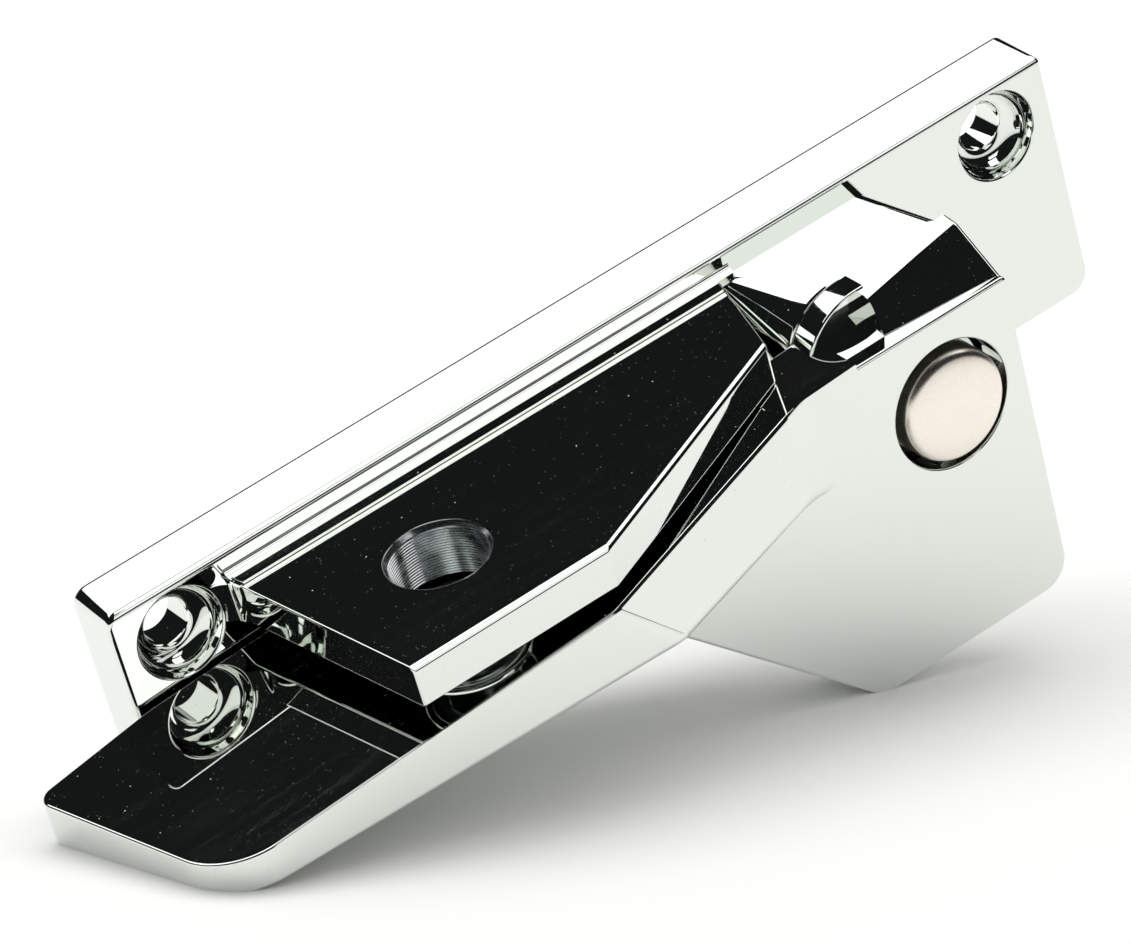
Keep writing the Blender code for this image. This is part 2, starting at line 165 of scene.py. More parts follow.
# Hole in the handle, and the sleeve in it
HANDLE_HOLE = (31.4, 25.2)
BEAD_RADIUS = 6.95
BEAD_WIDTH = 0.6
BEAD_HEIGHT = 0.5
BEAD_STEPS = 12
HANDLE_HOLE_DEPTH = 8.0
SLEEVE_OUTER = 6.18
SLEEVE_BORE = 4.4

# Pivot pin
RECESS_RADIUS = 8.4
RECESS_FLOOR = 16.5
RECESS_FILLET = 0.4
RECESS_RIM = 0.3
BUSH_SEAT_RADIUS = 5.7
FLANGE_SEAT_RADIUS = 6.6
FLANGE_SEAT_DEPTH = 1.3
HEAD_RADIUS = 7.3
HEAD_BACK = 17.6
HEAD_EDGE = 21.2
HEAD_CROWN = 23.2
HEAD_SHOULDER = 0.9
HEAD_DOME_SHARE = 0.62
HEAD_STEPS = 12
SHANK_RADIUS = 4.0
SHANK_END = -7.7
POCKET_RADIUS = 8.6
POCKET_DEPTH = 6.5

# Stop pin in the boss, and the arc slot for it in the back of the hub
STOP_ORBIT = 9.6
STOP_ANGLE = -60.0
STOP_RADIUS = 2.0
STOP_DEPTH = 6.0
STOP_REACH = 2.6
SWING = 95.0

ROUND_STEPS = 96
CORNER_STEPS = 10
RIM_STEPS = 6


def point(along, out, down):
    """The frame's place, in metres, of a point given in millimetres."""
    front = BODY_HIGH.y - PLATE_THICKNESS * MM
    return Vector((BODY_LOW.x + along * MM, front - out * MM, BODY_HIGH.z - down * MM))


def looking_at_plate(x, y, out):
    """An outline drawn as (along, down), placed at a distance out of the plate."""
    return point(x, out, y)


def looking_down(x, y, down):
    """An outline drawn as (along, out), placed at a distance down from the plate's top."""
    return point(x, y, down)


def rounded(corners, steps=CORNER_STEPS):
    """The outline through corners (x, y, radius), each one rounded by an arc of that radius."""
    outline = []
    for index, (x, y, radius) in enumerate(corners):
        corner = Vector((x, y))
        before = (Vector(corners[index - 1][:2]) - corner).normalized()
        after = (Vector(corners[(index + 1) % len(corners)][:2]) - corner).normalized()
        if radius == 0.0:
            outline.append(corner)
            continue
        half = before.angle(after) / 2
        centre = corner + (before + after).normalized() * (radius / math.sin(half))
        start = corner + before * (radius / math.tan(half)) - centre
        end = corner + after * (radius / math.tan(half)) - centre
        turn = start.angle_signed(end)
        for step in range(steps + 1):
            outline.append(centre + Matrix.Rotation(-turn * step / steps, 2) @ start)
    return outline


def cross(a, b):
    """The cross product of two flat vectors."""
    return a.x * b.y - a.y * b.x


def moved_in(corners, insets):
    """The corners after each edge, from a corner to the next, has moved inwards by its own inset."""
    count = len(corners)
    points = [Vector(corner[:2]) for corner in corners]
    area = sum(cross(points[i], points[(i + 1) % count]) for i in range(count))
    side = 1.0 if area > 0 else -1.0
    lines = []
    for i in range(count):
        along = (points[(i + 1) % count] - points[i]).normalized()
        inward = Vector((-along.y, along.x)) * side
        lines.append((points[i] + inward * insets[i], along))
    result = []
    for i, corner in enumerate(corners):
        radius = corner[2]
        start, before = lines[i - 1]
        other, after = lines[i]
        share = cross(other - start, after) / cross(before, after)
        place = start + before * share
        if radius > 0.0:
            convex = cross(before, after) * side > 0
            inset = max(insets[i - 1], insets[i])
            radius = max(radius - inset, 0.03) if convex else radius + inset
        result.append((place.x, place.y, radius))
    return result


def edge_inset(radius, drop):
    """How far a rounded edge has drawn in, at this drop below the face."""
    if drop >= radius:
        return 0.0
    return radius - math.sqrt(radius**2 - (radius - drop) ** 2)


def rim_drops(radii):
    """Depths below a face at which the outlines of its rounded edges are taken."""
    largest = max(radii)
    return [largest * (1 - math.cos(math.pi / 2 * step / RIM_STEPS)) for step in range(RIM_STEPS + 1)]


def as_list(radii, corners):
    """A radius for each corner, from one for them all or from a list."""
    return [radii] * len(corners) if isinstance(radii, float) else list(radii)


def block(name, place, corners, start, end, start_radii=0.2, end_radii=0.2, steps=CORNER_STEPS):
    """A prism whose two faces have rounded edges, with a radius for each edge."""
    first = as_list(start_radii, corners)
    last = as_list(end_radii, corners)
    way = 1.0 if end > start else -1.0
    loops = []
    for drop in rim_drops(first):
        shape = moved_in(corners, [edge_inset(radius, drop) for radius in first])
        loops.append([place(x, y, start + way * drop) for x, y in rounded(shape, steps)])
    for drop in reversed(rim_drops(last)):
        shape = moved_in(corners, [edge_inset(radius, drop) for radius in last])
        loops.append([place(x, y, end - way * drop) for x, y in rounded(shape, steps)])
    return loft(name, loops)


def loft(name, loops, closed=False):
    """A solid through loops of equal length. A closed one has no caps and runs on to its first loop."""
    mesh = bmesh.new()
    rings = [[mesh.verts.new(corner) for corner in loop] for loop in loops]
    pairs = list(zip(rings, rings[1:]))
    if closed:
        pairs.append((rings[-1], rings[0]))
    for lower, upper in pairs:
        for index in range(len(lower)):
            after = (index + 1) % len(lower)
            mesh.faces.new((lower[index], lower[after], upper[after], upper[index]))
    if not closed:
        mesh.faces.new(rings[0])
        mesh.faces.new(rings[-1])
    bmesh.ops.recalc_face_normals(mesh, faces=mesh.faces)
    data = bpy.data.meshes.new(name)
    mesh.to_mesh(data)
    mesh.free()
    obj = bpy.data.objects.new(name, data)
    bpy.context.scene.collection.objects.link(obj)
    return obj


def turned(name, centre, profile, place=looking_at_plate, steps=ROUND_STEPS, closed=False):
    """A round solid from (distance along its axis, radius) pairs."""
    loops = []
    for distance, radius in profile:
        loop = []
        for step in range(steps):
            angle = 2 * math.pi * step / steps
            x = centre[0] + radius * math.cos(angle)
            y = centre[1] + radius * math.sin(angle)
            loop.append(place(x, y, distance))
        loops.append(loop)
    return loft(name, loops, closed)


def combined(name, base, added=(), cut=()):
    """The union of base and the added solids, less the cut ones, as one clean mesh."""
    for operation, helpers in (("UNION", added), ("DIFFERENCE", cut)):
        for helper in helpers:
            modifier = base.modifiers.new(helper.name, "BOOLEAN")
            modifier.operation = operation
            modifier.solver = "EXACT"
            modifier.object = helper
    graph = bpy.context.evaluated_depsgraph_get()
    data = bpy.data.meshes.new_from_object(base.evaluated_get(graph))
    for helper in (base, *added, *cut):
        bpy.data.objects.remove(helper, do_unlink=True)
    mesh = bmesh.new()
    mesh.from_mesh(data)
    bmesh.ops.remove_doubles(mesh, verts=mesh.verts, dist=1e-6)
    bmesh.ops.dissolve_degenerate(mesh, edges=mesh.edges, dist=1e-6)
    mesh.to_mesh(data)
    mesh.free()
    data.name = name
    data.materials.clear()
    obj = bpy.data.objects.new(name, data)
    bpy.context.scene.collection.objects.link(obj)
    return obj


def finish_surface(obj, material, sharp=32.0):
    """Smooth shading that keeps the flat faces flat."""
    obj.data.materials.clear()
    obj.data.materials.append(material)
    obj.data.shade_smooth()
    obj.data.set_sharp_from_angle(angle=math.radians(sharp))
    weighted = obj.modifiers.new("flat_faces", "WEIGHTED_NORMAL")
    weighted.mode = "FACE_AREA"
    weighted.weight = 100
    weighted.keep_sharp = True


# Mounting body


def plate_solid():
    """The plate, whose top slopes down a little towards its front."""
    ends = ((0.0, 0.0), (PLATE_LENGTH, 0.0), (PLATE_LENGTH, PLATE_HEIGHT), (0.0, PLATE_HEIGHT))
    corners = [(x, y, radius) for (x, y), radius in zip(ends, PLATE_CORNER_RADII)]
    loops = []
    stations = [-PLATE_THICKNESS + drop for drop in rim_drops(PLATE_BACK_RADII)]
    stations += [-drop for drop in reversed(rim_drops(PLATE_EDGE_RADII))]
    for out in stations:
        insets = [
            edge_inset(back, out + PLATE_THICKNESS) + edge_inset(front, -out)
            for back, front in zip(PLATE_BACK_RADII, PLATE_EDGE_RADII)
        ]
        insets[0] += PLATE_TOP_DRAFT * (out + PLATE_THICKNESS) / PLATE_THICKNESS
        outline = rounded(moved_in(corners, insets))
        loops.append([looking_at_plate(x, y, out) for x, y in outline])
    return loft("plate", loops)


def lug_place(along, out, down):
    """A place on the lug, which droops a little towards its front."""
    return point(along, out, down + LUG_DROOP * out)


def strip_plan():
    """The raised strip where the lug meets the plate."""
    return [
        (LUG_ROOT + 0.4, -OVERRUN, 0.0),
        (LUG_ROOT + 1.0, STRIP_OUT, STRIP_CORNER_RADIUS),
        (87.6, STRIP_OUT, STRIP_CORNER_RADIUS),
        (88.6, -OVERRUN, 0.0),
    ]


def quarter_fillet(radius):
    """Points of a hollow quarter round from (0, radius) on one wall to (radius, 0) on the other."""
    angles = [math.pi / 2 * step / FILLET_STEPS for step in range(FILLET_STEPS + 1)]
    return [(radius - radius * math.cos(angle), radius - radius * math.sin(angle)) for angle in angles]


def lug_top_fillet():
    """The hollow root between the lug's top and the plate."""
    top = LUG_TOP - STRIP_RISE
    section = [(out, top - rise) for out, rise in quarter_fillet(LUG_TOP_FILLET)]
    section += [
        (LUG_TOP_FILLET, top + OVERRUN),
        (-OVERRUN, top + OVERRUN),
        (-OVERRUN, top - LUG_TOP_FILLET),
    ]
    loops = []
    for along in (FILLET_START, BOSS_LEFT + 2.0):
        loops.append([point(along, out, down) for out, down in section])
    return loft("lug_top_fillet", loops)


def lug_side_fillet():
    """The hollow root between the lug's left side and the plate."""
    section = [(FILLET_START - side, out) for out, side in quarter_fillet(LUG_SIDE_FILLET)]
    section += [
        (FILLET_START + OVERRUN, LUG_SIDE_FILLET),
        (FILLET_START + OVERRUN, -OVERRUN),
        (FILLET_START - LUG_SIDE_FILLET, -OVERRUN),
    ]
    loops = []
    for down in (LUG_BOTTOM - 0.1, LUG_TOP + 0.1):
        loops.append([point(along, out, down) for along, out in section])
    return loft("lug_side_fillet", loops)


def boss_solid():
    """The boss behind the hub. It widens, and its top falls, on the way out of the plate."""
    loops = []
    stations = [(-OVERRUN, 0.0), (0.0, 0.0)]
    stations += [
        (BOSS_OUT - drop, edge_inset(BOSS_EDGE_RADIUS, drop))
        for drop in reversed(rim_drops([BOSS_EDGE_RADIUS]))
    ]
    for out, inset in stations:
        share = max(out, 0.0) / BOSS_OUT
        right = BOSS_ROOT_RIGHT + (BOSS_RIGHT - BOSS_ROOT_RIGHT) * share
        shoulder = BOSS_SHOULDERS[0] + (BOSS_SHOULDERS[1] - BOSS_SHOULDERS[0]) * share
        top = BOSS_TOP + BOSS_TOP_DROOP * share
        corners = [
            (BOSS_LEFT, top, shoulder),
            (right, top, BOSS_CORNER_RADII[0]),
            (right, BOSS_BOTTOM, BOSS_CORNER_RADII[1]),
            (BOSS_LEFT, BOSS_BOTTOM, BOSS_CORNER_RADII[2]),
        ]
        outline = rounded(moved_in(corners, [inset] * len(corners)), BOSS_CORNER_STEPS)
        loops.append([looking_at_plate(x, y, out) for x, y in outline])
    return loft("boss", loops)


def screw_cup(along):
    """A screw's bore through the plate, and the rounded cup for its head."""
    profile = list(SCREW_BORE_PROFILE)
    bore = SCREW_BORE_PROFILE[-1][1]
    for step in range(1, CUP_STEPS + 1):
        angle = math.pi / 2 * step / CUP_STEPS
        radius = bore + (CUP_RADIUS - bore) * math.sin(angle) ** CUP_ROUNDNESS
        depth = CUP_DEPTH - (CUP_DEPTH - CUP_RIM) * (1 - math.cos(angle))
        profile.append((-depth, radius))
    for step in range(1, CUP_RIM_STEPS + 1):
        angle = math.pi / 2 * step / CUP_RIM_STEPS
        profile.append((-CUP_RIM * (1 - math.sin(angle)), CUP_RADIUS + CUP_RIM * (1 - math.cos(angle))))
    profile.append((OVERRUN, CUP_RADIUS + CUP_RIM))
    return turned("cup", (along, SCREW_DOWN), profile)


def lug_bore():
    """The lug's bore for the bushing, with a rounded rim at its top."""
    radius = BUSHING_OUTER + LUG_HOLE_PLAY
    profile = [(LUG_TOP - OVERRUN, radius + LUG_HOLE_RIM)]
    for step in range(RIM_STEPS + 1):
        angle = math.pi / 2 * step / RIM_STEPS
        depth = LUG_HOLE_RIM * (1 - math.cos(angle))
        profile.append((LUG_TOP + depth, radius + LUG_HOLE_RIM * (1 - math.sin(angle))))
    profile.append((LUG_BOTTOM + OVERRUN, radius))
    return turned("lug_bore", LUG_HOLE, profile, looking_down)


def nut_pocket():
    """The pocket in the plate's back for the washer and the nut, and the shank's bore."""
    floor = POCKET_DEPTH - PLATE_THICKNESS
    profile = [
        (-PLATE_THICKNESS - OVERRUN, POCKET_RADIUS),
        (floor, POCKET_RADIUS),
        (floor, SHANK_RADIUS + GAP),
        (BOSS_OUT + OVERRUN, SHANK_RADIUS + GAP),
    ]
    return turned("pocket", (PIVOT_ALONG, PIVOT_DOWN), profile)


def stop_place(turn=0.0, orbit=STOP_ORBIT):
    """Where the stop pin is, as (along, down), seen from a lever that has swung by turn degrees."""
    angle = math.radians(STOP_ANGLE - turn)
    return (PIVOT_ALONG + orbit * math.cos(angle), PIVOT_DOWN - orbit * math.sin(angle))


def stop_bore():
    """The stop pin's bore in the boss."""
    ends = (BOSS_OUT - STOP_DEPTH - GAP, BOSS_OUT + OVERRUN)
    return turned("stop_bore", stop_place(), [(end, STOP_RADIUS + GAP) for end in ends])


def build_body(chrome):
    """Plate, lug and boss as one casting."""
    lug = block("lug", lug_place, LUG_PLAN, LUG_TOP, LUG_BOTTOM, LUG_EDGE_RADII, LUG_BOTTOM_RADIUS)
    strip_ends = (LUG_TOP - STRIP_RISE, LUG_TOP + OVERRUN)
    strip = block("strip", lug_place, strip_plan(), *strip_ends, *STRIP_EDGE_RADII)
    added = [lug, strip, lug_top_fillet(), lug_side_fillet(), boss_solid()]
    cups = [screw_cup(SCREW_ALONG), screw_cup(PLATE_LENGTH - SCREW_ALONG)]
    cut = [*cups, lug_bore(), nut_pocket(), stop_bore()]
    body = combined("body_casting", plate_solid(), added, cut)
    finish_surface(body, chrome)
    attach(body, "base")
    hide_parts("mounting_body")
    return body


def build_bushing(steel):
    """The lug's bushing, with turning grooves down its bore."""
    profile = [
        (BUSHING_TOP + BUSHING_MOUTH_DEPTH, BUSHING_BORE),
        (BUSHING_TOP, BUSHING_BORE + BUSHING_MOUTH),
        (BUSHING_TOP, BUSHING_OUTER),
        (BUSHING_BOTTOM, BUSHING_OUTER),
        (BUSHING_BOTTOM, BUSHING_BORE + BUSHING_FOOT),
    ]
    down = BUSHING_BOTTOM - BUSHING_FOOT
    while down > BUSHING_TOP + GROOVE_START + GROOVE_PITCH:
        for share, depth in GROOVE_SHARES:
            profile.append((down - GROOVE_PITCH * share, BUSHING_BORE + depth))
        down -= GROOVE_PITCH
    bushing = turned("lug_bushing_turned", LUG_HOLE, profile, looking_down, closed=True)
    finish_surface(bushing, steel, 25.0)
    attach(bushing, "base")
    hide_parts("lug_bushing")
    return bushing


# Lever


def handle_top(along, out):
    """How far down the handle's sloping top is."""
    return 14.12 - 0.05 * along + 0.01 * out


def handle_bottom(along, out):
    """How far down the handle's sloping bottom is."""
    return 19.6 + 0.034 * along + 0.1 * (HANDLE_FRONT - out)


def handle_plan(bend):
    """The handle's outline, whose front edge bends at this distance along."""
    return [
        (HANDLE_STEP, HANDLE_BACK, 1.0),
        (HANDLE_STEP, HUB_BACK, 0.0),
        (HANDLE_JOIN, HUB_BACK, 0.0),
        (HANDLE_JOIN, HUB_FRONT, 0.0),
        (83.0, HUB_FRONT, 14.0),
        (bend, HANDLE_FRONT, 6.0),
        (-9.6, HANDLE_FRONT, 9.0),
        (-16.6, 2.8, 2.2),
        (1.0, HANDLE_BACK, 20.0),
    ]


def handle_solid():
    """A slab whose top and bottom slope, with small rounded edges."""
    loops = []
    stations = [
        (drop, edge_inset(HANDLE_TOP_RADIUS, drop)) for drop in rim_drops([HANDLE_TOP_RADIUS])
    ]
    stations += [
        (HANDLE_DEPTH - drop, edge_inset(HANDLE_BOTTOM_RADIUS, drop))
        for drop in reversed(rim_drops([HANDLE_BOTTOM_RADIUS]))
    ]
    for depth, inset in stations:
        share = depth / HANDLE_DEPTH
        corners = handle_plan(HANDLE_BEND + HANDLE_BEND_SHIFT * share)
        insets = [inset] * len(corners)
        insets[2] = insets[3] = 0.0
        loop = []
        for along, out in rounded(moved_in(corners, insets), HANDLE_CORNER_STEPS):
            top = handle_top(along, out)
            bottom = handle_bottom(along, out)
            loop.append(point(along, out, top + (bottom - top) * share))
        loops.append(loop)
    return loft("handle", loops)


def nose_solid():
    """The hub's front and the nose, which is the bolt."""
    corners = [
        (83.0, HUB_TOP, 0.0),
        (HUB_RIGHT, HUB_TOP, 0.6),
        (NOSE_RIGHT, NOSE_BOTTOM, 4.0),
        (NOSE_LEFT, NOSE_BOTTOM, 1.0),
        (55.5, 26.0, 0.0),
        (56.0, 18.0, 0.0),
    ]
    return block("nose", looking_at_plate, corners, HUB_BACK, HUB_FRONT, 0.3, 0.45)


def drum_solid():
    """The rounded left end of the hub, in line with the boss's shoulder."""
    corners = [
        (BOSS_LEFT, PIVOT_DOWN, 0.0),
        (BOSS_LEFT, DRUM_TOP, BOSS_SHOULDERS[1]),
        (ROOF_LEFT + 1.0, DRUM_TOP, 0.0),
        (ROOF_LEFT + 1.0, PIVOT_DOWN, 0.0),
    ]
    radii = [0.35, 0.35, 0.0, 0.0]
    return block("drum", looking_at_plate, corners, HUB_BACK, DRUM_FRONT, radii, 0.3, DRUM_CORNER_STEPS)


def ledge_solid():
    """The sloping step between the drum and the hub's front, low enough at its left to clear the lug."""
    loops = []
    for along, rise in LEDGE_RISES:
        section = [
            (HUB_BACK + 0.05, HUB_TOP - rise),
            (DRUM_FRONT, HUB_TOP - rise),
            (ROOF_FEET[0], HUB_TOP - 0.02),
            (ROOF_FEET[0] + 0.4, HUB_TOP + 0.4),
            (HUB_BACK + 0.05, HUB_TOP + 0.4),
        ]
        loops.append([point(along, out, down) for out, down in section])
    return loft("ledge", loops)


def roof_section(share):
    """The hub's roof as (out, down), at this share of the way from its left end to its right."""
    crest = ROOF_CRESTS[0] + (ROOF_CRESTS[1] - ROOF_CRESTS[0]) * share
    foot = ROOF_FEET[0] + (ROOF_FEET[1] - ROOF_FEET[0]) * share
    rounding = ROOF_ROUNDINGS[0] + (ROOF_ROUNDINGS[1] - ROOF_ROUNDINGS[0]) * share
    return [
        (HUB_BACK + 0.1, DRUM_TOP, 0.0),
        (crest, DRUM_TOP + ROOF_FALL, rounding),
        (foot, HUB_TOP, 0.25),
        (foot + 0.15, HUB_TOP + 0.03, 0.0),
        (foot + 0.15, CORE_DOWN, 0.0),
        (HUB_BACK + 0.1, CORE_DOWN, 0.0),
    ]


def roof_solid():
    """The curved roof over the right of the hub."""
    loops = []
    length = HUB_RIGHT - ROOF_LEFT
    stations = [(0.0, 0.0)]
    stations += [
        (length - drop, edge_inset(ROOF_END_RADIUS, drop))
        for drop in reversed(rim_drops([ROOF_END_RADIUS]))
    ]
    for reach, inset in stations:
        corners = roof_section(reach / length)
        outline = rounded(moved_in(corners, [inset] * len(corners)), ROOF_CORNER_STEPS)
        loops.append([point(ROOF_LEFT + reach, out, down) for out, down in outline])
    return loft("roof", loops)


def recess_cutter():
    """The recess round the pin's head, and the seats for the bush and its flange."""
    profile = [
        (HUB_BACK - OVERRUN, FLANGE_SEAT_RADIUS),
        (HUB_BACK + FLANGE_SEAT_DEPTH, FLANGE_SEAT_RADIUS),
        (HUB_BACK + FLANGE_SEAT_DEPTH, BUSH_SEAT_RADIUS),
        (RECESS_FLOOR, BUSH_SEAT_RADIUS),
        (RECESS_FLOOR, RECESS_RADIUS - RECESS_FILLET),
        (RECESS_FLOOR + RECESS_FILLET, RECESS_RADIUS),
    ]
    for step in range(RIM_STEPS + 1):
        angle = math.pi / 2 * step / RIM_STEPS
        drop = RECESS_RIM * (1 - math.sin(angle))
        profile.append((HUB_FRONT - drop, RECESS_RADIUS + RECESS_RIM * (1 - math.cos(angle))))
    profile.append((HUB_FRONT + OVERRUN, RECESS_RADIUS + RECESS_RIM))
    return turned("recess", (PIVOT_ALONG, PIVOT_DOWN), profile)


def stop_slot():
    """The arc slot that the stop pin runs in, from the closed stop to the open one."""
    reach = STOP_RADIUS + 2 * GAP
    slack = math.degrees(reach / STOP_ORBIT)
    steps = ROUND_STEPS // 2
    outline = []
    for orbit, first, last in (
        (STOP_ORBIT + reach, -slack, SWING + slack),
        (STOP_ORBIT - reach, SWING + slack, -slack),
    ):
        for step in range(steps + 1):
            outline.append(stop_place(first + (last - first) * step / steps, orbit))
    ends = (HUB_BACK - OVERRUN, BOSS_OUT + STOP_REACH + GAP)
    return loft("stop_slot", [[looking_at_plate(x, y, out) for x, y in outline] for out in ends])


def on_handle(along, out, down):
    """A place by its distance down from the handle's sloping top."""
    return point(along, out, handle_top(along, out) + down)


def handle_bead():
    """The rolled rim round the hole."""
    profile = [(1.0, BEAD_RADIUS + BEAD_WIDTH), (0.05, BEAD_RADIUS + BEAD_WIDTH)]
    for step in range(BEAD_STEPS + 1):
        angle = math.pi * step / BEAD_STEPS
        profile.append((-BEAD_HEIGHT * math.sin(angle), BEAD_RADIUS + BEAD_WIDTH * math.cos(angle)))
    profile += [(0.05, BEAD_RADIUS - BEAD_WIDTH), (1.0, BEAD_RADIUS - BEAD_WIDTH)]
    return turned("bead", HANDLE_HOLE, profile, on_handle, closed=True)


def handle_hole_cutter():
    """The blind hole in the handle for the sleeve."""
    seat = SLEEVE_OUTER + 0.05
    profile = [(-OVERRUN, seat), (HANDLE_HOLE_DEPTH, seat)]
    return turned("handle_hole", HANDLE_HOLE, profile, on_handle)


def build_lever(chrome):
    """Handle, hub and nose as one casting."""
    added = [nose_solid(), drum_solid(), ledge_solid(), roof_solid(), handle_bead()]
    cut = [recess_cutter(), stop_slot(), handle_hole_cutter()]
    lever = combined("lever_casting", handle_solid(), added, cut)
    finish_surface(lever, chrome)
    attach(lever, "lever")
    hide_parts("handle_lever")
    return lever


def build_sleeve(steel):
    """The sleeve in the handle's hole, which ends just above the hole's floor."""
    bottom = handle_bottom(*HANDLE_HOLE) - handle_top(*HANDLE_HOLE) - 0.85
    profile = [
        (-0.15, SLEEVE_BORE + 0.15),
        (-0.15, SLEEVE_OUTER - 0.45),
        (-0.05, SLEEVE_OUTER - 0.2),
        (0.25, SLEEVE_OUTER),
        (bottom, SLEEVE_OUTER),
        (bottom, SLEEVE_BORE),
        (0.0, SLEEVE_BORE),
    ]
    sleeve = turned("handle_sleeve_turned", HANDLE_HOLE, profile, on_handle, closed=True)
    finish_surface(sleeve, steel, 25.0)
    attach(sleeve, "lever")
    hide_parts("handle_sleeve")
    return sleeve


# Pivot


def build_pin(nickel):
    """The head has a straight side, a rounded shoulder and a shallow dome."""
    crown = HEAD_CROWN - HEAD_EDGE
    profile = [
        (SHANK_END, SHANK_RADIUS - 0.5),
        (SHANK_END + 0.5, SHANK_RADIUS),
        (HEAD_BACK, SHANK_RADIUS),
        (HEAD_BACK, HEAD_RADIUS - 0.2),
        (HEAD_BACK + 0.2, HEAD_RADIUS),
    ]
    for step in range(HEAD_STEPS + 1):
        angle = math.pi / 2 * step / HEAD_STEPS
        dome = crown * HEAD_DOME_SHARE * math.sin(angle)
        edge = crown * (1 - HEAD_DOME_SHARE) * min(1.0, math.sin(angle) * 3.0)
        flat = (HEAD_RADIUS - HEAD_SHOULDER) * math.cos(angle)
        radius = flat + HEAD_SHOULDER * math.cos(angle) ** 0.25
        profile.append((HEAD_EDGE + dome + edge, max(radius, 0.05)))
    pin = turned("pivot_pin_domed", (PIVOT_ALONG, PIVOT_DOWN), profile)
    finish_surface(pin, nickel, 50.0)
    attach(pin, "base")
    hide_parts("pivot_pin")


# Materials


CHROME_COLOUR = (0.80, 0.83, 0.79)
CHROME_ROUGHNESS_RANGE = (0.012, 0.05)
POLISHING_SCALE = (60.0, 900.0, 900.0)
DUST_COLOUR = (0.55, 0.60, 0.68)
DUST_ROUGHNESS = 0.6
FINE_DUST_STRENGTH = 0.3
NICKEL_LIGHT = (0.95, 0.89, 0.80)
NICKEL_DARK = (0.91, 0.85, 0.76)
NICKEL_ROUGHNESS_RANGE = (0.24, 0.36)
TURNING_SCALE = (120.0, 120.0, 2600.0)


def new_material(name, colour, roughness, metallic=1.0):
    """A material and its Principled shader."""
    material = bpy.data.materials.new(name)
    material.use_nodes = True
    shader = material.node_tree.nodes["Principled BSDF"]
    shader.inputs["Base Color"].default_value = (*colour, 1.0)
    shader.inputs["Roughness"].default_value = roughness
    shader.inputs["Metallic"].default_value = metallic
    return material, shader


def add_node(material, kind, **values):
    node = material.node_tree.nodes.new(kind)
    for key, value in values.items():
        setattr(node, key, value)
    return node


def scaled_coordinates(material, scale):
    """Object coordinates in metres, stretched by a scale for each axis."""
    coordinates = add_node(material, "ShaderNodeTexCoord")
    mapping = add_node(material, "ShaderNodeMapping")
    mapping.inputs["Scale"].default_value = scale
    material.node_tree.links.new(coordinates.outputs["Object"], mapping.inputs["Vector"])
    return mapping.outputs["Vector"]


def noise(material, vector, scale, detail):
    texture = add_node(material, "ShaderNodeTexNoise")
    texture.inputs["Scale"].default_value = scale
    texture.inputs["Detail"].default_value = detail
    material.node_tree.links.new(vector, texture.inputs["Vector"])
    return texture.outputs["Fac"]


def mapped(material, value, low, high, new_low, new_high):
    """The value carried from the range low to high into the new range."""
    node = add_node(material, "ShaderNodeMapRange")
    node.inputs["From Min"].default_value = low
    node.inputs["From Max"].default_value = high
    node.inputs["To Min"].default_value = new_low
    node.inputs["To Max"].default_value = new_high
    material.node_tree.links.new(value, node.inputs["Value"])
    return node.outputs["Result"]


def multiplied(material, first, second):
    node = add_node(material, "ShaderNodeMath", operation="MULTIPLY")
    material.node_tree.links.new(first, node.inputs[0])
    material.node_tree.links.new(second, node.inputs[1])
    return node.outputs["Value"]


def specks(material, vector, cells, radius, rarity):
    """A mask of small spots in a few of the cells of a grid."""
    texture = add_node(material, "ShaderNodeTexVoronoi")
    texture.inputs["Scale"].default_value = cells
    material.node_tree.links.new(vector, texture.inputs["Vector"])
    spot = mapped(material, texture.outputs["Distance"], radius * 0.5, radius, 1.0, 0.0)
    chosen = mapped(material, texture.outputs["Color"], rarity, rarity + 0.02, 0.0, 1.0)
    return multiplied(material, spot, chosen)


def bump(material, shader, height, strength, distance):
    node = add_node(material, "ShaderNodeBump")
    node.inputs["Strength"].default_value = strength
    node.inputs["Distance"].default_value = distance
    material.node_tree.links.new(height, node.inputs["Height"])
    material.node_tree.links.new(node.outputs["Normal"], shader.inputs["Normal"])


def mixed_colour(material, factor, first, second):
    node = add_node(material, "ShaderNodeMix", data_type="RGBA")
    node.inputs["A"].default_value = (*first, 1.0)
    node.inputs["B"].default_value = (*second, 1.0)
    material.node_tree.links.new(factor, node.inputs["Factor"])
    return node.outputs["Result"]


